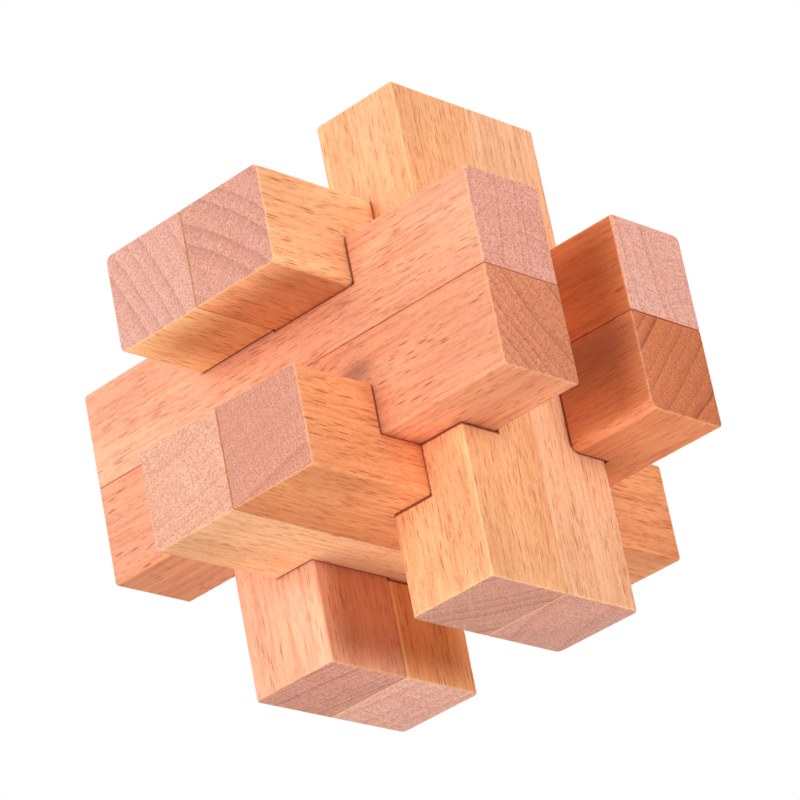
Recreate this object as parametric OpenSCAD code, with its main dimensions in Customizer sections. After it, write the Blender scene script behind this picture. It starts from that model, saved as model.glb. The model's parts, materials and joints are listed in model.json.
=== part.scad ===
// Twelve-stick burr puzzle.
// Three families of four square sticks cross at right angles. The sticks lie in touching
// pairs, and two notches in each let the families pass through one another, so the puzzle
// holds together with no glue and no key piece.
//
// The joinery is laid out on a grid of half a stick width, called unit below, with the
// origin at the centre of the puzzle:
//   uprights   run along Z, in a left and a right pair   (X is 1 to 3 units out, Y 0 to 2)
//   crossbars  run along X, in a front and a back pair   (Y is 1 to 3 units out, Z 0 to 2)
//   runners    run along Y, in a lower and an upper pair (Z is 1 to 3 units out, X 0 to 2)

/* [Sticks] */
// Width and thickness of a stick, measured over its share of the gaps
stick_w = 15; // [10:0.5:20]
// Length of a stick, end to end
stick_l = 75; // [66:1:120]

/* [Finish] */
// Radius planed onto the four long edges of a stick
edge_r = 1.1; // [0.3:0.1:2]
// Radius rubbed onto the edges of its two sawn ends
end_r = 0.4; // [0.2:0.1:1]
// Play between two sticks that lie face to face
side_gap = 0.2; // [0.1:0.05:0.4]
// Smoothness of the rounded edges
edge_steps = 32; // [16:4:64]

/* [Hidden] */
// Half a stick width: every notch is one unit deep and two units long
unit = stick_w / 2;
// Width over the faces of one stick
face_w = stick_w - side_gap;
// How far a cutter reaches past the wood it cuts
overcut = 1;
// Tints of beech, from pale to brown
PALE = [0.96, 0.78, 0.60];
PEACH = [0.95, 0.71, 0.52];
ROSY = [0.90, 0.65, 0.50];
TAN = [0.87, 0.64, 0.44];

// A rectangle w by h about the origin, with corners of radius r
module rounded_rect(w, h, r) {
    square([w - 2 * r, h], center = true);
    square([w, h - 2 * r], center = true);
    for (x = [-1, 1] * (w / 2 - r), y = [-1, 1] * (h / 2 - r)) {
        translate([x, y]) circle(r, $fn = edge_steps);
    }
}

// The outline of a stick seen from the side, face_w across and stick_l end to end
module side_outline() {
    linear_extrude(stick_w, center = true) rounded_rect(face_w, stick_l, end_r);
}

// A plain square stick along Z about the origin. It is what a long bar with round edges has
// in common with the outlines seen along X and along Y, which round the ends
module blank() {
    intersection() {
        linear_extrude(stick_l + 2 * overcut, center = true) rounded_rect(face_w, face_w, edge_r);
        rotate([90, 0, 90]) side_outline();
        rotate([90, 0, 0]) side_outline();
    }
}

// A box given by its lowest and highest corners
module box(low, high) {
    translate(low) cube(high - low);
}

// A box that spans from unit number a to unit number b along Z, on the side of the origin
// that way (1 or -1) names
module cutter(low, high, a, b, way) {
    mirror([0, 0, way < 0 ? 1 : 0])
        box([low[0], low[1], a * unit], [high[0], high[1], b * unit]);
}

// The notch sawn across the outer side of a stick, next to its middle
module side_notch(way) {
    cutter([unit - overcut, unit], [3 * unit + overcut, 2 * unit + overcut], 0, 2, way);
}

// The notch sawn across the inner face of a stick, one unit from its middle
module face_notch(way) {
    cutter([unit - overcut, -overcut], [2 * unit, 2 * unit + overcut], 1, 3, way);
}

// One stick where the back right upright stands. Each notch lies above the middle of the
// stick for 1 and below it for -1
module stick(side_way, face_way) {
    difference() {
        translate([2 * unit, unit, 0]) blank();
        side_notch(side_way);
        face_notch(face_way);
    }
}

// Moves a stick to another quarter: out is 1 or -1 along X, and side is 1 or -1 along Y
module quarter(out, side) {
    mirror([out < 0 ? 1 : 0, 0, 0]) mirror([0, side < 0 ? 1 : 0, 0]) children();
}

// Turns X to Y, Y to Z and Z to X, which is how one family becomes the next
module next_family() {
    rotate([90, 0, 90]) children();
}

// out: 1 for right, -1 for left; side: 1 for back, -1 for front
module upright(out, side) {
    quarter(out, side) stick(out * side, out * side);
}

// out: 1 for back, -1 for front; side: 1 for upper, -1 for lower
module crossbar(out, side) {
    next_family() quarter(out, side) stick(-out * side, -out * side);
}

// out: 1 for upper, -1 for lower; side: 1 for right, -1 for left
module runner(out, side) {
    next_family() next_family() quarter(out, side) stick(-out * side, out * side);
}

module upright_left_front() { color(PALE) upright(-1, -1); }
module upright_left_back() { color(TAN) upright(-1, 1); }
module upright_right_front() { color(PEACH) upright(1, -1); }
module upright_right_back() { color(ROSY) upright(1, 1); }

module crossbar_front_lower() { color(ROSY) crossbar(-1, -1); }
module crossbar_front_upper() { color(PALE) crossbar(-1, 1); }
module crossbar_back_lower() { color(TAN) crossbar(1, -1); }
module crossbar_back_upper() { color(PEACH) crossbar(1, 1); }

module runner_lower_left() { color(PEACH) runner(-1, -1); }
module runner_lower_right() { color(TAN) runner(-1, 1); }
module runner_upper_left() { color(ROSY) runner(1, -1); }
module runner_upper_right() { color(PALE) runner(1, 1); }

upright_left_front();
upright_left_back();
upright_right_front();
upright_right_back();
crossbar_front_lower();
crossbar_front_upper();
crossbar_back_lower();
crossbar_back_upper();
runner_lower_left();
runner_lower_right();
runner_upper_left();
runner_upper_right();
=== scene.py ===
"""Twelve-stick burr puzzle in beech: the looks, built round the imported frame.

Every stick is a mesh of its own: a bar with unevenly rounded long edges, crisp sawn ends and
two sawn notches. One procedural beech grain runs through each bar from where its log's centre
would have been, so that its faces, ends and notches all show the same wood.
Lengths are in metres unless a name ends in _mm. The grain is worked out in millimetres.
"""
import json
import math

import bmesh
import bpy
from mathutils import Matrix, Vector, noise


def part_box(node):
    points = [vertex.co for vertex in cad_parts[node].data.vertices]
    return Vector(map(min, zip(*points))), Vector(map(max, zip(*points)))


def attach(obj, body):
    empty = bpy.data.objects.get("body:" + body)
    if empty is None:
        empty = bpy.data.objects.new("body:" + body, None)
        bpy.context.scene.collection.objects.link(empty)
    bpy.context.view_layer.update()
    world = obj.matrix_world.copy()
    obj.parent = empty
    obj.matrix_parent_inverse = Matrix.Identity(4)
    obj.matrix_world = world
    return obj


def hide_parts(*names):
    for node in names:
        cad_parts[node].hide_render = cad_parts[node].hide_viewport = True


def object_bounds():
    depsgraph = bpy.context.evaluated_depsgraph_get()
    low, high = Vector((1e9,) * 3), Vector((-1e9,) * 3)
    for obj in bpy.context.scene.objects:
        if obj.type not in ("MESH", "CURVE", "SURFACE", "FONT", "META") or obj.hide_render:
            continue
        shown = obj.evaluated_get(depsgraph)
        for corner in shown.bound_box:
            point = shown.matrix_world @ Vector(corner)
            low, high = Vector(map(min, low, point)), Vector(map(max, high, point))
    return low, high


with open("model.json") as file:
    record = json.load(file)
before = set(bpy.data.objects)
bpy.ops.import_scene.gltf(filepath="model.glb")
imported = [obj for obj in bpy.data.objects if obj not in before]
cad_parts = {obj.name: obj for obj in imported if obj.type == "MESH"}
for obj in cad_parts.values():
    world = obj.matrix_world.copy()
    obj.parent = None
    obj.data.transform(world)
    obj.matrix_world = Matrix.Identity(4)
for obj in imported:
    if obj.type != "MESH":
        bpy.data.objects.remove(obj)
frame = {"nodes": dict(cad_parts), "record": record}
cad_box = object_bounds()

MM = 0.001

# ---------------------------------------------------------------------------------------------
# Where the sticks lie
# ---------------------------------------------------------------------------------------------
# Each family's own axes as world axes: out from the middle, side within the pair, and along
# the grain. Positions given as (out, side, along) below are in this order, from the stick's
# centre, and point the way the world axes do.
FAMILY_AXES = {"upright": (0, 1, 2), "crossbar": (1, 2, 0), "runner": (2, 0, 1)}

# Which way along the grain a family's side notch and face notch lie, on a stick whose two
# position signs are alike. On a stick whose signs differ, both are turned round.
NOTCH_WAYS = {"upright": (1, 1), "crossbar": (-1, -1), "runner": (-1, 1)}

# How far the wood stops short of the plane it shares with a touching stick
SEAM = 0.02 * MM
# How far a notch is sawn past the stick that crosses in it, at either end
PLAY = 0.14 * MM


class Stick:
    """The place, size and notches of one stick, all from its CAD box."""

    def __init__(self, name):
        low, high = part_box(name)
        self.name = name
        self.family = name.split("_")[0]
        self.axes = FAMILY_AXES[self.family]
        self.centre = (low + high) / 2
        out, side, along = self.axes
        self.unit = abs(self.centre[side])
        self.half_w = self.unit - SEAM
        self.half_l = (high - low)[along] / 2
        self.out_sign = math.copysign(1, self.centre[out])
        self.side_sign = math.copysign(1, self.centre[side])

    def to_world(self, out, side, along):
        """A point of the stick, in the row frame."""
        point = self.centre.copy()
        for axis, value in zip(self.axes, (out, side, along)):
            point[axis] += value
        return point

    def notches(self):
        """The spans along out, side and along of its side notch and its face notch."""
        hand = self.out_sign * self.side_sign
        side_way, face_way = (way * hand for way in NOTCH_WAYS[self.family])
        unit = self.unit
        past = unit + 1 * MM
        side_notch = ((-past, past), (0, past), (-PLAY, 2 * unit + PLAY)), side_way
        face_notch = ((-past, 0), (-past, past), (unit - PLAY, 3 * unit + PLAY)), face_way
        for spans, way in (side_notch, face_notch):
            signs = (self.out_sign, self.side_sign, way)
            yield [(sign * low, sign * high) for sign, (low, high) in zip(signs, spans)]


# ---------------------------------------------------------------------------------------------
# The meshes
# ---------------------------------------------------------------------------------------------
# Corners of a stick's section as (out, side) signs, anticlockwise
CORNERS = ((1, 1), (-1, 1), (-1, -1), (1, -1))
# Radius of each stick's four long edges, in the order of CORNERS
EDGE_RADII_MM = {
    "upright_left_front": (0.2, 0.2, 1.1, 0.5),
    "upright_left_back": (1.1, 0.9, 0.2, 0.45),
    "upright_right_front": (0.15, 0.2, 1.1, 0.3),
    "upright_right_back": (0.9, 1.0, 0.2, 0.15),
    "crossbar_front_lower": (0.2, 0.2, 0.5, 0.8),
    "crossbar_front_upper": (0.8, 1.1, 0.15, 0.2),
    "crossbar_back_lower": (0.2, 0.2, 1.6, 0.8),
    "crossbar_back_upper": (1.2, 0.9, 0.2, 0.2),
    "runner_lower_left": (0.2, 0.3, 1.0, 0.7),
    "runner_lower_right": (0.5, 0.5, 0.3, 0.25),
    "runner_upper_left": (0.3, 0.2, 1.1, 1.2),
    "runner_upper_right": (0.9, 1.0, 0.2, 0.3),
}
ARC_STEPS = 6
END_RADIUS = 0.25 * MM
END_STEPS = 3
# Distance between the rings of a bar
RING_STEP = 2.5 * MM
# Where the points between two rounded edges lie: 0 at the end of one arc, 1 at the next
FLAT_SHARES = (0.03, 0.27, 0.5, 0.73, 0.97)
# Deepest hollow left in a face by planing and sanding
HOLLOW = 0.03 * MM
SHARP_ANGLE = math.radians(35)


def wobble(seed, x, y=0.0):
    """Smooth noise from -1 to 1, one pattern for each seed."""
    return noise.noise(Vector((x + seed * 17.3, y - seed * 5.1, seed * 2.7)))


def edge_radius(stick, seed, corner, along):
    """How round a long edge is at one place along it, as wear has left it."""
    patchy = 1 + 0.2 * wobble(seed + corner, along * 90) + 0.1 * wobble(seed - corner, along * 400)
    return EDGE_RADII_MM[stick.name][corner] * MM * patchy


def section(stick, seed, along, inset):
    """The outline of a stick at one place along it, drawn in by inset all round."""
    radii = [edge_radius(stick, seed, corner, along) for corner in range(4)]
    points = []
    for n, (out, side) in enumerate(CORNERS):
        middle = Vector((out, side)) * (stick.half_w - radii[n])
        reach = max(radii[n] - inset, 0.02 * MM)
        first = math.atan2(side, out) - math.pi / 4
        arc = [first + k / ARC_STEPS * math.pi / 2 for k in range(ARC_STEPS + 1)]
        points += [middle + reach * Vector((math.cos(a), math.sin(a))) for a in arc]
        outward = Vector((math.cos(arc[-1]), math.sin(arc[-1])))
        onward = Vector((-outward.y, outward.x))
        begin = points[-1].dot(onward)
        end = stick.half_w - radii[(n + 1) % 4]
        for share in FLAT_SHARES:
            across = begin + (end - begin) * share
            depth = 0.5 + 0.5 * wobble(seed + 30 + n, along * 60, across * 120)
            depth *= HOLLOW * math.sin(math.pi * share)
            points.append(outward * (stick.half_w - inset - depth) + onward * across)
    return points


def bar(stick, seed):
    """A whole stick without its notches, as rings of points along the grain."""
    inner = stick.half_l - END_RADIUS
    steps = round(2 * inner / RING_STEP)
    turns = [k / END_STEPS * math.pi / 2 for k in range(END_STEPS + 1)]
    tip = [(inner + END_RADIUS * math.sin(a), END_RADIUS * (1 - math.cos(a))) for a in turns]
    rows = [(-along, inset) for along, inset in reversed(tip)]
    rows += [(-inner + 2 * inner * k / steps, 0) for k in range(1, steps)]
    rows += tip
    bm = bmesh.new()
    rings = []
    for along, inset in rows:
        outline = section(stick, seed, along, inset)
        rings.append([bm.verts.new(stick.to_world(p.x, p.y, along)) for p in outline])
    for ring, following in zip(rings, rings[1:]):
        for k in range(len(ring)):
            bm.faces.new((ring[k - 1], ring[k], following[k], following[k - 1]))
    bm.faces.new(reversed(rings[0]))
    bm.faces.new(rings[-1])
    bmesh.ops.recalc_face_normals(bm, faces=bm.faces)
    return bm


def new_object(name, bm):
    """An object in the scene with this mesh."""
    mesh = bpy.data.meshes.new(name)
    bm.to_mesh(mesh)
    bm.free()
    obj = bpy.data.objects.new(name, mesh)
    bpy.context.scene.collection.objects.link(obj)
    return obj


def saw_notch(obj, stick, spans):
    """Cuts one notch out of a stick's mesh."""
    bm = bmesh.new()
    out, side, along = spans
    corners = [stick.to_world(x, y, z) for x in out for y in side for z in along]
    bmesh.ops.convex_hull(bm, input=[bm.verts.new(corner) for corner in corners])
    cutter = new_object("cutter", bm)
    cut = obj.modifiers.new("notch", "BOOLEAN")
    cut.operation = "DIFFERENCE"
    cut.solver = "EXACT"
    cut.object = cutter
    graph = bpy.context.evaluated_depsgraph_get()
    sawn = bpy.data.meshes.new_from_object(obj.evaluated_get(graph))
    obj.modifiers.clear()
    obj.data = sawn
    bpy.data.objects.remove(cutter)


def build_stick(stick, seed):
    """The finished mesh of one stick, which rides on its body in place of the CAD solid."""
    obj = new_object(stick.name + "_beech", bar(stick, seed))
    for spans in stick.notches():
        saw_notch(obj, stick, spans)
    obj.data.polygons.foreach_set("use_smooth", [True] * len(obj.data.polygons))
    obj.data.set_sharp_from_angle(angle=SHARP_ANGLE)
    return obj


# ---------------------------------------------------------------------------------------------
# Node helpers
# ---------------------------------------------------------------------------------------------
class Tree:
    """Short calls for wiring up a node tree. Any input may be a number, a tuple or a socket."""

    def __init__(self, tree):
        self.tree = tree

    def add(self, kind, **settings):
        node = self.tree.nodes.new(kind)
        for key, value in settings.items():
            setattr(node, key, value)
        return node

    def feed(self, socket, value):
        if isinstance(value, bpy.types.NodeSocket):
            self.tree.links.new(value, socket)
        else:
            socket.default_value = value

    def math(self, operation, *values):
        node = self.add("ShaderNodeMath", operation=operation)
        for socket, value in zip(node.inputs, values):
            self.feed(socket, value)
        return node.outputs[0]

    def vmath(self, operation, *values):
        node = self.add("ShaderNodeVectorMath", operation=operation)
        for socket, value in zip(node.inputs, values):
            self.feed(socket, value)
        return node.outputs["Value" if operation in ("LENGTH", "DOT_PRODUCT") else "Vector"]

    def scaled(self, vector, factor):
        node = self.add("ShaderNodeVectorMath", operation="SCALE")
        self.feed(node.inputs[0], vector)
        self.feed(node.inputs["Scale"], factor)
        return node.outputs["Vector"]

    def split(self, vector):
        node = self.add("ShaderNodeSeparateXYZ")
        self.feed(node.inputs[0], vector)
        return node.outputs[0], node.outputs[1], node.outputs[2]

    def join(self, x, y, z=0.0):
        node = self.add("ShaderNodeCombineXYZ")
        for socket, value in zip(node.inputs, (x, y, z)):
            self.feed(socket, value)
        return node.outputs[0]

    def ramp(self, value, low, high, to_low=0.0, to_high=1.0):
        """Eases from to_low, at value low, to to_high, at value high."""
        node = self.add("ShaderNodeMapRange", interpolation_type="SMOOTHSTEP")
        for socket, given in zip(node.inputs, (value, low, high, to_low, to_high)):
            self.feed(socket, given)
        return node.outputs["Result"]

    def noise(self, vector, stretch, detail=2.0, output="Fac"):
        """Noise about 0.5 that repeats stretch times a millimetre along each axis."""
        node = self.add("ShaderNodeTexNoise")
        self.feed(node.inputs["Vector"], self.vmath("MULTIPLY", vector, stretch))
        node.inputs["Scale"].default_value = 1
        node.inputs["Detail"].default_value = detail
        return node.outputs[output]

    def mix(self, share, a, b, blend="MIX"):
        node = self.add("ShaderNodeMix", data_type="RGBA", blend_type=blend)
        self.feed(node.inputs[0], share)
        self.feed(node.inputs[6], a)
        self.feed(node.inputs[7], b)
        return node.outputs[2]


# ---------------------------------------------------------------------------------------------
# Beech
# ---------------------------------------------------------------------------------------------
def linear(red, green, blue):
    """A colour given in 0 to 255 display steps, as the renderer wants it."""
    def channel(step):
        share = step / 255
        return share / 12.92 if share <= 0.04045 else ((share + 0.055) / 1.055) ** 2.4
    return (channel(red), channel(green), channel(blue), 1)


GROUP_INPUTS = (
    ("Place", "NodeSocketVector"),
    ("End", "NodeSocketFloat"),
    ("Half", "NodeSocketVector"),
    ("Partner", "NodeSocketFloat"),
    ("Pith", "NodeSocketVector"),
    ("Ring", "NodeSocketFloat"),
    ("Ring strength", "NodeSocketFloat"),
    ("Edge highlight", "NodeSocketFloat"),
    ("Seam", "NodeSocketFloat"),
    ("Shade and stain", "NodeSocketVector"),
    ("Shade and stain reach", "NodeSocketVector"),
    ("Side notch low", "NodeSocketVector"),
    ("Side notch high", "NodeSocketVector"),
    ("Face notch low", "NodeSocketVector"),
    ("Face notch high", "NodeSocketVector"),
    ("Seed", "NodeSocketFloat"),
    ("Fleck share", "NodeSocketFloat"),
    ("Fleck width", "NodeSocketFloat"),
    ("Fleck length", "NodeSocketFloat"),
    ("Side tint", "NodeSocketColor"),
    ("End tint", "NodeSocketColor"),
    ("Saw turn", "NodeSocketFloat"),
)


def fleck_layer(t, place, width, length, share, seed):
    """Slender ray flecks along the grain: 1 inside one, 0 between them."""
    across, down, along = t.split(place)
    at = t.join(
        t.math("DIVIDE", across, width),
        t.math("DIVIDE", down, width),
        t.math("DIVIDE", along, length),
    )
    cells = t.add("ShaderNodeTexVoronoi", voronoi_dimensions="3D", feature="F1")
    t.feed(cells.inputs["Vector"], t.vmath("ADD", at, t.join(seed, seed, seed)))
    cells.inputs["Scale"].default_value = 1
    chance, size, _ = t.split(cells.outputs["Color"])
    reach = t.math("MULTIPLY_ADD", size, 0.22, 0.19)
    core = t.math("MULTIPLY", reach, 0.35)
    inside = t.ramp(cells.outputs["Distance"], reach, core)
    return t.math("MULTIPLY", inside, t.math("LESS_THAN", chance, share))


def outside_box(t, place, low, high):
    """How far a place lies outside a box, or inside it as a negative number."""
    gap = t.vmath("MAXIMUM", t.vmath("SUBTRACT", low, place), t.vmath("SUBTRACT", place, high))
    x, y, z = t.split(gap)
    return t.math("MAXIMUM", t.math("MAXIMUM", x, y), z)


def beech_group():
    """The grain of beech at a place in a stick, for any stick."""
    group = bpy.data.node_groups.new("beech", "ShaderNodeTree")
    for name, kind in GROUP_INPUTS:
        group.interface.new_socket(name, in_out="INPUT", socket_type=kind)
    for name, kind in (("Color", "Color"), ("Roughness", "Float"), ("Height", "Float")):
        group.interface.new_socket(name, in_out="OUTPUT", socket_type="NodeSocket" + kind)
    t = Tree(group)
    given = t.add("NodeGroupInput").outputs
    place, end, seed = given["Place"], given["End"], given["Seed"]
    own = t.vmath("ADD", place, t.scaled((31.7, 17.3, 43.1), seed))

    # Where a point lies in the log: distance from the pith, and distance round the ring
    bend = t.vmath("SUBTRACT", t.noise(own, (0.06, 0.06, 0.012), output="Color"), (0.5, 0.5, 0.5))
    bent = t.vmath("ADD", place, t.scaled(bend, 2.2))
    _, _, along = t.split(place)
    flat = t.vmath("MULTIPLY", t.vmath("SUBTRACT", bent, given["Pith"]), (1, 1, 0))
    radius = t.vmath("LENGTH", flat)
    outward = t.vmath("NORMALIZE", t.scaled(given["Pith"], -1))
    sideways = t.vmath("CROSS_PRODUCT", (0, 0, 1), outward)
    turn = t.math(
        "ARCTAN2",
        t.vmath("DOT_PRODUCT", flat, sideways),
        t.vmath("DOT_PRODUCT", flat, outward),
    )
    round_ring = t.math("MULTIPLY", turn, t.vmath("LENGTH", given["Pith"]))

    # Growth rings: each darkens slowly and ends sharply, and no two are alike
    count = t.math("DIVIDE", radius, given["Ring"])
    uneven = t.noise(t.join(count, seed, 0), (0.45, 1, 1), detail=1)
    count = t.math("MULTIPLY_ADD", uneven, 1.6, count)
    ring = t.math("FRACT", count)
    strength = t.add("ShaderNodeTexWhiteNoise", noise_dimensions="2D")
    t.feed(strength.inputs["Vector"], t.join(t.math("FLOOR", count), seed))
    line = t.math("ADD", t.ramp(ring, 0.1, 0.75, 0, 0.45), t.ramp(ring, 0.7, 0.92, 0, 0.55))
    late = t.math("MULTIPLY", line, t.ramp(ring, 1.0, 0.94))
    late = t.math("MULTIPLY", late, t.ramp(strength.outputs["Value"], 0, 1, 0.25, 1))

    # Rays: slender flecks on the sides, fine lines towards the pith on the ends
    share, width, length = (given["Fleck " + key] for key in ("share", "width", "length"))
    broad = fleck_layer(t, bent, width, length, share, seed)
    width = t.math("MULTIPLY", width, 0.65)
    length = t.math("MULTIPLY", length, 0.55)
    share = t.math("MULTIPLY", share, 0.8)
    fine = fleck_layer(t, bent, width, length, share, t.math("ADD", seed, 9.5))
    fleck = t.math("MAXIMUM", broad, t.math("MULTIPLY", fine, 0.6))
    ray_line = t.noise(t.join(round_ring, radius, seed), (1.9, 0.12, 1), detail=2)

    # Fibres, pores and slow changes of colour
    fibre = t.noise(own, (1.9, 1.9, 0.09), detail=3)
    pores = t.noise(own, (3.4, 3.4, 0.42), detail=2)
    cloud = t.noise(own, (0.12, 0.12, 0.02), detail=2)
    speck = t.noise(own, (3.6, 3.6, 3.6), detail=2)

    # How far a point is from the outside, from the nearest edge of the stick and from the edges
    # of the face that touches the other stick of the pair
    x, y, z = t.split(t.vmath("SUBTRACT", given["Half"], t.vmath("ABSOLUTE", place)))
    half_w, _, _ = t.split(given["Half"])
    least = t.math("MINIMUM", t.math("MINIMUM", x, y), z)
    most = t.math("MAXIMUM", t.math("MAXIMUM", x, y), z)
    total = t.math("ADD", t.math("ADD", x, y), z)
    edge = t.math("SUBTRACT", t.math("SUBTRACT", total, least), most)
    _, across, _ = t.split(place)
    to_partner = t.math("SUBTRACT", half_w, t.math("MULTIPLY", across, given["Partner"]))
    to_partner = t.math("MAXIMUM", to_partner, edge)
    edge = t.math("MULTIPLY_ADD", speck, 0.4, t.math("SUBTRACT", edge, 0.2))
    # Painted highlight: a pale line along the rounded long edges and the end arrises, broken into
    # patches by noise, and along the joint with the touching stick where the seam setting asks
    # for it
    edge_highlight = given["Edge highlight"]
    arris_highlight = t.ramp(z, 0.7, 0.4, edge_highlight, t.math("MULTIPLY_ADD", edge_highlight, 0.7, 0.3))
    patchy = t.ramp(t.noise(own, (0.7, 0.7, 0.4), detail=2), 0.35, 0.6, 0.3, 1)
    edge_highlight_mask = t.math("MULTIPLY", t.ramp(edge, 0.32, 0.08), t.math("MULTIPLY", arris_highlight, patchy))
    seam = given["Seam"]
    crevice = t.ramp(to_partner, 0.22, 0.04, 0, t.ramp(seam, 0.5, 0))
    seam_highlight = t.ramp(to_partner, 0.75, 0.5, 0, t.ramp(seam, 0.5, 1))
    side_highlight = t.math("MULTIPLY", edge_highlight_mask, t.ramp(to_partner, 0.2, 0.6))
    side_highlight = t.math("MAXIMUM", side_highlight, t.math("MULTIPLY", seam_highlight, 1.4))
    joint_highlight = t.ramp(to_partner, 0.34, 0.1, 0, t.ramp(seam, 0, 0.5))
    end_highlight = t.math("MAXIMUM", edge_highlight_mask, joint_highlight)
    first = outside_box(t, place, given["Side notch low"], given["Side notch high"])
    second = outside_box(t, place, given["Face notch low"], given["Face notch high"])
    to_notch = t.math("MINIMUM", t.math("ABSOLUTE", first), t.math("ABSOLUTE", second))
    ragged = t.math("MULTIPLY_ADD", speck, 0.24, t.math("SUBTRACT", to_notch, 0.12))
    rim = t.math("MULTIPLY", t.ramp(ragged, 0.34, 0.12), t.ramp(least, 0.3, 0.1))
    sawn = t.ramp(least, 1.2, 2.0)

    # Painted shade: soft dark patches where a face lies in shadow, plus one small dark mark in
    # the wood, from the patches listed for each stick
    to_shade_and_stain = t.vmath("SUBTRACT", place, given["Shade and stain"])
    off_shade_and_stain = t.vmath("LENGTH", t.vmath("DIVIDE", to_shade_and_stain, given["Shade and stain reach"]))
    off_shade_and_stain = t.math("MULTIPLY_ADD", cloud, 0.5, t.math("SUBTRACT", off_shade_and_stain, 0.25))
    shade_and_stain_mask = t.ramp(off_shade_and_stain, 1, 0.15, 0, 0.55)

    # Side grain. Fibres, pores and specks are shades of the stick's own tint
    side = t.mix(t.ramp(cloud, 0.35, 0.65), (0.93, 0.88, 0.84, 1), (1.06, 1.07, 1.05, 1))
    tint = given["Side tint"]
    fibre_tint = t.mix(1, tint, (0.74, 0.44, 0.29, 1), "MULTIPLY")
    pore_tint = t.mix(1, tint, (0.64, 0.34, 0.2, 1), "MULTIPLY")
    speck_tint = t.mix(1, tint, (1.05, 1.42, 1.7, 1), "MULTIPLY")
    side = t.mix(1, tint, side, "MULTIPLY")
    side = t.mix(t.math("MULTIPLY", late, 0.2), side, linear(214, 124, 70))
    side = t.mix(t.ramp(fibre, 0.42, 0.7, 0, 0.5), side, fibre_tint)
    side = t.mix(t.ramp(pores, 0.5, 0.74, 0, 0.5), side, pore_tint)
    side = t.mix(t.ramp(speck, 0.48, 0.75, 0, 0.36), side, speck_tint)
    side = t.mix(t.math("MULTIPLY", fleck, 0.85), side, linear(180, 86, 38))
    # Painted shade and one small dark mark, from the patches listed for the stick
    side = t.mix(shade_and_stain_mask, side, linear(128, 72, 52))
    # Painted highlight along the edges and the joint
    side = t.mix(t.math("MULTIPLY", side_highlight, 0.5), side, linear(255, 212, 142))
    side = t.mix(t.math("MULTIPLY", crevice, 0.35), side, linear(150, 60, 30))
    side = t.mix(t.math("MULTIPLY", rim, 0.85), side, linear(150, 40, 14))

    # End grain, with scratches left by the saw. Rings, rays, pores and specks are shades of
    # the stick's own tint
    turned = t.add("ShaderNodeVectorRotate", rotation_type="Z_AXIS")
    t.feed(turned.inputs["Vector"], own)
    t.feed(turned.inputs["Angle"], given["Saw turn"])
    scratch = t.noise(turned.outputs[0], (4, 0.4, 1), detail=2)
    banded = t.math("MULTIPLY", late, given["Ring strength"])
    tint = given["End tint"]
    pale = t.mix(1, tint, (1.17, 1.72, 1.95, 1), "MULTIPLY")
    cut = t.mix(banded, tint, t.mix(1, tint, (0.45, 0.27, 0.2, 1), "MULTIPLY"))
    cut = t.mix(t.ramp(ray_line, 0.48, 0.7, 0, 0.2), cut, pale)
    cut = t.mix(t.ramp(scratch, 0.5, 0.72, 0, 0.18), cut, pale)
    dark = t.mix(1, tint, (0.52, 0.36, 0.32, 1), "MULTIPLY")
    cut = t.mix(t.ramp(speck, 0.42, 0.66, 0, 0.6), cut, dark)
    cut = t.mix(t.ramp(pores, 0.5, 0.7, 0, 0.22), cut, pale)
    # Painted highlight along the end's edges and joint
    cut = t.mix(t.math("MULTIPLY", end_highlight, 0.55), cut, linear(255, 214, 164))
    cut = t.mix(t.math("MULTIPLY", crevice, 0.6), cut, linear(150, 66, 36))
    cut = t.mix(t.math("MULTIPLY", rim, 0.6), cut, linear(140, 40, 18))

    color = t.mix(end, side, cut)
    t_out = t.add("NodeGroupOutput").inputs
    t.feed(t_out["Color"], color)
    rough = t.math("MULTIPLY_ADD", fibre, 0.16, t.ramp(end, 0, 1, 0.4, 0.56))
    rough = t.math("MULTIPLY_ADD", sawn, 0.12, rough)
    t.feed(t_out["Roughness"], t.math("MULTIPLY_ADD", edge_highlight_mask, -0.08, rough))
    height = t.math("MULTIPLY_ADD", fleck, -0.35, t.math("MULTIPLY", fibre, 0.5))
    height = t.math("MULTIPLY_ADD", pores, 0.35, height)
    rasp = t.math("MULTIPLY", scratch, t.math("MAXIMUM", end, sawn))
    t.feed(t_out["Height"], t.math("MULTIPLY_ADD", rasp, 1.2, height))
    return group
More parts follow.
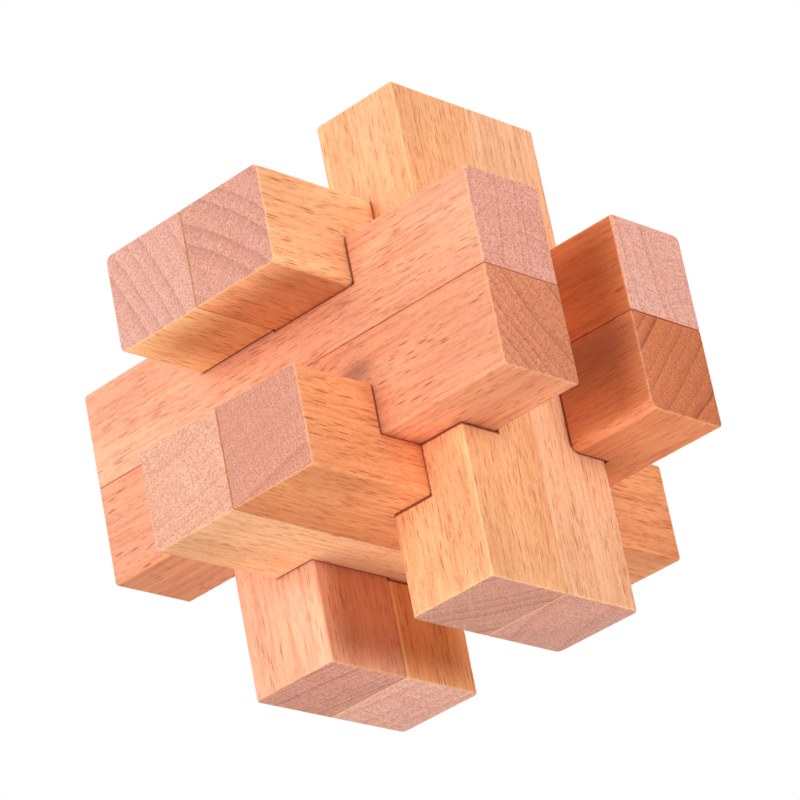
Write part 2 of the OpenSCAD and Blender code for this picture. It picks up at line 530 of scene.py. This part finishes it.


# How each stick was cut from its log and what it looks like:
# pith: where the log's centre lies from the stick's, in mm along out and side
# rings: width of a growth ring in mm, and how strongly the rings show on the ends
# flecks: share of the places for a ray fleck that hold one, and the width and length of a
# place in mm. A fleck fills up to four fifths of its place
# side, end: tint of the side grain and the end grain
# saw: direction of the scratches on the ends, in degrees
# edge highlight: how pale a painted highlight makes the outer long edges, 0.3 where it is not
# given
# seam: how the joint with the touching stick shows, from dark at 0, where it is not given,
# through a painted highlight on the ends only at 0.5 to a painted highlight all along at 1
GRAINS = {
    "upright_left_front": dict(pith=(-14, 98), rings=(1.4, 0.8), flecks=(0.4, 0.3, 4.6),
                               side=(254, 186, 150), end=(238, 164, 140), saw=80),
    "upright_left_back": dict(pith=(-16, 90), rings=(2.4, 0.35), flecks=(0.3, 0.3, 4.2),
                              side=(255, 186, 128), end=(252, 186, 162), saw=20, seam=1),
    "upright_right_front": dict(pith=(62, -74), rings=(1.9, 0.7), flecks=(0.6, 0.31, 4.1),
                                side=(254, 188, 136), end=(232, 164, 138), saw=60,
                                edge_highlight=0.9, seam=0.5),
    "upright_right_back": dict(pith=(28, 92), rings=(3.4, 0.4), flecks=(0.6, 0.31, 4.1),
                               side=(255, 194, 150), end=(234, 166, 144), saw=70,
                               edge_highlight=0.9, seam=0.5),
    "crossbar_front_lower": dict(pith=(70, 72), rings=(1.7, 0.7), flecks=(0.45, 0.55, 3.4),
                                 side=(240, 160, 121), end=(230, 142, 103), saw=135,
                                 seam=0.25),
    "crossbar_front_upper": dict(pith=(92, -10), rings=(1.3, 0.5), flecks=(0.7, 0.3, 4.4),
                                 side=(248, 173, 136), end=(242, 168, 146), saw=85,
                                 seam=0.25),
    "crossbar_back_lower": dict(pith=(-70, 64), rings=(2.1, 0.9), flecks=(0.35, 0.34, 4.6),
                                side=(238, 148, 100), end=(219, 124, 78), saw=50),
    "crossbar_back_upper": dict(pith=(100, 10), rings=(2.2, 0.4), flecks=(0.3, 0.31, 4.1),
                                side=(222, 127, 75), end=(244, 176, 156), saw=95),
    "runner_lower_left": dict(pith=(85, -15), rings=(1.9, 0.3), flecks=(0.5, 0.31, 4.1),
                              side=(255, 194, 146), end=(238, 172, 142), saw=55),
    "runner_lower_right": dict(pith=(-100, 20), rings=(2.4, 0.35), flecks=(0.95, 0.44, 5.2),
                               side=(240, 158, 106), end=(222, 148, 122), saw=90),
    "runner_upper_left": dict(pith=(-40, -90), rings=(2.4, 0.4), flecks=(0.4, 0.31, 4.1),
                              side=(255, 206, 150), end=(232, 168, 148), saw=45),
    "runner_upper_right": dict(pith=(-72, -68), rings=(2.9, 0.45), flecks=(0.8, 0.36, 4.8),
                               side=(253, 189, 138), end=(224, 156, 134), saw=50),
}
# Dark patches, each with its middle and its reach in mm along out, side and the grain: on the
# back lower crossbar, painted shade that darkens the top of its front face; on the front lower
# crossbar, a painted soft shadow just above the lower right runner; on the back upper crossbar, a
# small dark mark in the wood
PAINTED_SHADE_AND_STAINS = {
    "crossbar_back_lower": ((-7.5, 3.5, 27), (3, 7, 15)),
    "crossbar_front_lower": ((-7.5, 2.6, 12.5), (2, 2.4, 5)),
    "crossbar_back_upper": ((-7.5, -4.0, 36.2), (1, 0.5, 1.6)),
}


def notch_corners(spans):
    """The lowest and highest corner of a notch, in millimetres from the stick's centre."""
    low = tuple(min(span) / MM for span in spans)
    high = tuple(max(span) / MM for span in spans)
    return low, high


WOOD_IOR = 1.45
BUMP_STRENGTH = 0.5
BUMP_DEPTH = 0.06 * MM


def beech_material(group, stick, seed):
    """The beech of one stick."""
    grain = GRAINS[stick.name]
    material = bpy.data.materials.new(stick.name + "_wood")
    material.use_nodes = True
    material.node_tree.nodes.clear()
    t = Tree(material.node_tree)
    coords = t.add("ShaderNodeTexCoord")
    from_centre = t.vmath("SUBTRACT", coords.outputs["Object"], tuple(stick.centre))
    point = t.split(t.scaled(from_centre, 1 / MM))
    normal = t.split(coords.outputs["Normal"])
    out, side, along = stick.axes
    facing = t.math("ABSOLUTE", normal[along])
    wood = t.add("ShaderNodeGroup", node_tree=group)
    half_w = stick.half_w / MM
    share, width, length = grain["flecks"]
    ring, ring_strength = grain["rings"]
    # Painted shade patches and one dark mark; a stick without one gets a patch that lies inside
    # the wood and never shows
    shade_and_stain_middle, shade_and_stain_reach = PAINTED_SHADE_AND_STAINS.get(stick.name, ((0, 0, 0), (1, 1, 1)))
    side_notch, face_notch = (notch_corners(spans) for spans in stick.notches())
    settings = {
        "Place": t.join(point[out], point[side], point[along]),
        "End": t.ramp(facing, 0.55, 0.95),
        "Half": (half_w, half_w, stick.half_l / MM),
        "Partner": -stick.side_sign,
        "Pith": (*grain["pith"], 0),
        "Ring": ring,
        "Ring strength": ring_strength,
        "Edge highlight": grain.get("edge_highlight", 0.3),
        "Seam": grain.get("seam", 0),
        "Shade and stain": shade_and_stain_middle,
        "Shade and stain reach": shade_and_stain_reach,
        "Side notch low": side_notch[0],
        "Side notch high": side_notch[1],
        "Face notch low": face_notch[0],
        "Face notch high": face_notch[1],
        "Seed": seed,
        "Fleck share": share,
        "Fleck width": width,
        "Fleck length": length,
        "Side tint": linear(*grain["side"]),
        "End tint": linear(*grain["end"]),
        "Saw turn": math.radians(grain["saw"]),
    }
    for name, value in settings.items():
        t.feed(wood.inputs[name], value)
    bump = t.add("ShaderNodeBump")
    bump.inputs["Strength"].default_value = BUMP_STRENGTH
    bump.inputs["Distance"].default_value = BUMP_DEPTH
    t.feed(bump.inputs["Height"], wood.outputs["Height"])
    shader = t.add("ShaderNodeBsdfPrincipled")
    shader.inputs["IOR"].default_value = WOOD_IOR
    t.feed(shader.inputs["Base Color"], wood.outputs["Color"])
    t.feed(shader.inputs["Roughness"], wood.outputs["Roughness"])
    t.feed(shader.inputs["Normal"], bump.outputs["Normal"])
    surface = t.add("ShaderNodeOutputMaterial")
    t.feed(surface.inputs["Surface"], shader.outputs[0])
    return material


# ---------------------------------------------------------------------------------------------
# Floor, light and camera
# ---------------------------------------------------------------------------------------------
FLOOR_SIZE = 3.0
# Strength of the white surroundings as light
AMBIENT = 0.115
# How wide each light looks from the puzzle, as from a large softbox
LIGHT_ANGLE = math.radians(35)
# Each distant light: the way to it from the puzzle, and its strength in watts per square metre
LIGHTS = {
    "front": ((0, -1, 0), 2.36),
    "right": ((1, 0, 0), 2.5),
    "below": ((-0.12, -0.15, -1), 2.12),
    "left": ((-0.75, -0.43, 0.5), 0.85),
    "back": ((-0.4, 0.9, 0.2), 2.2),
    "top": ((0, 0, 1), 2.2),
}
CAMERA_AZIMUTH = 38.98
CAMERA_ELEVATION = -24.54
CAMERA_ROLL = -11.38
CAMERA_DISTANCE = 0.610
CAMERA_LENS = 196.7
SENSOR_WIDTH = 36
# The point that the middle of the picture shows
CAMERA_AIM = Vector((0.0009, 0, 0.0013))


def floor_material():
    """Pale matt floor that only a camera above it sees. Light from below passes through it,
    because the main camera looks up from under the puzzle."""
    material = bpy.data.materials.new("floor_pale")
    material.use_nodes = True
    material.node_tree.nodes.clear()
    t = Tree(material.node_tree)
    coords = t.add("ShaderNodeTexCoord")
    grit = t.noise(coords.outputs["Object"], (40, 40, 40), detail=3)
    matt = t.add("ShaderNodeBsdfDiffuse")
    t.feed(matt.inputs["Color"], t.mix(grit, (0.80, 0.79, 0.78, 1), (0.86, 0.85, 0.84, 1)))
    above = t.math("SUBTRACT", 1, t.add("ShaderNodeNewGeometry").outputs["Backfacing"])
    seen = t.math("MULTIPLY", above, t.add("ShaderNodeLightPath").outputs["Is Camera Ray"])
    either = t.add("ShaderNodeMixShader")
    t.feed(either.inputs[0], seen)
    t.feed(either.inputs[1], t.add("ShaderNodeBsdfTransparent").outputs[0])
    t.feed(either.inputs[2], matt.outputs[0])
    surface = t.add("ShaderNodeOutputMaterial")
    t.feed(surface.inputs["Surface"], either.outputs[0])
    return material


def build_floor():
    """The floor, level with the lowest stick ends."""
    bm = bmesh.new()
    bmesh.ops.create_grid(bm, x_segments=1, y_segments=1, size=FLOOR_SIZE / 2)
    floor = new_object("floor", bm)
    floor.location.z = cad_box[0].z
    floor.data.materials.append(floor_material())


def aim_at(direction, distance, target=Vector((0, 0, 0)), roll=0.0):
    """A matrix for something at that distance from target, looking at it."""
    back = Vector(direction).normalized()
    turn = back.to_track_quat("Z", "Y").to_matrix().to_4x4()
    spin = Matrix.Rotation(math.radians(roll), 4, "Z")
    return Matrix.Translation(target + back * distance) @ turn @ spin


def add_light(name, direction, strength):
    """A distant lamp that shines on the puzzle from that direction."""
    light = bpy.data.lights.new(name, "SUN")
    light.energy = strength
    light.angle = LIGHT_ANGLE
    lamp = bpy.data.objects.new(name, light)
    lamp.matrix_world = aim_at(direction, 1)
    bpy.context.scene.collection.objects.link(lamp)


def build_world():
    """A white studio: bright behind the object, and soft and dim as light."""
    world = bpy.data.worlds.new("studio")
    world.use_nodes = True
    world.node_tree.nodes.clear()
    t = Tree(world.node_tree)
    seen = t.add("ShaderNodeLightPath").outputs["Is Camera Ray"]
    backdrop = t.add("ShaderNodeBackground")
    t.feed(backdrop.inputs["Color"], (1, 1, 1, 1))
    t.feed(backdrop.inputs["Strength"], t.math("MAXIMUM", seen, AMBIENT))
    t.feed(t.add("ShaderNodeOutputWorld").inputs["Surface"], backdrop.outputs[0])
    bpy.context.scene.world = world
    bpy.context.scene.view_settings.view_transform = "Standard"


def build_camera():
    """The camera at the main view, which looks up from below and in front."""
    camera = bpy.data.cameras.new("camera")
    camera.lens = CAMERA_LENS
    camera.sensor_width = SENSOR_WIDTH
    azimuth = math.radians(CAMERA_AZIMUTH)
    level = math.cos(math.radians(CAMERA_ELEVATION))
    height = math.sin(math.radians(CAMERA_ELEVATION))
    back = (math.sin(azimuth) * level, -math.cos(azimuth) * level, height)
    viewer = bpy.data.objects.new("camera", camera)
    viewer.matrix_world = aim_at(back, CAMERA_DISTANCE, CAMERA_AIM, CAMERA_ROLL)
    bpy.context.scene.collection.objects.link(viewer)
    bpy.context.scene.camera = viewer


# ---------------------------------------------------------------------------------------------
# The scene
# ---------------------------------------------------------------------------------------------
beech = beech_group()
bodies = frame["record"]["behaviour"]["bodies"]
body_of = {node: body for body, nodes in bodies.items() for node in nodes}

for number, node in enumerate(sorted(frame["nodes"]), start=1):
    stick = Stick(node)
    piece = build_stick(stick, number)
    piece.data.materials.clear()
    piece.data.materials.append(beech_material(beech, stick, number))
    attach(piece, body_of[node])
    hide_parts(node)

build_floor()
build_world()
for name, (direction, strength) in LIGHTS.items():
    add_light(name, direction, strength)
build_camera()
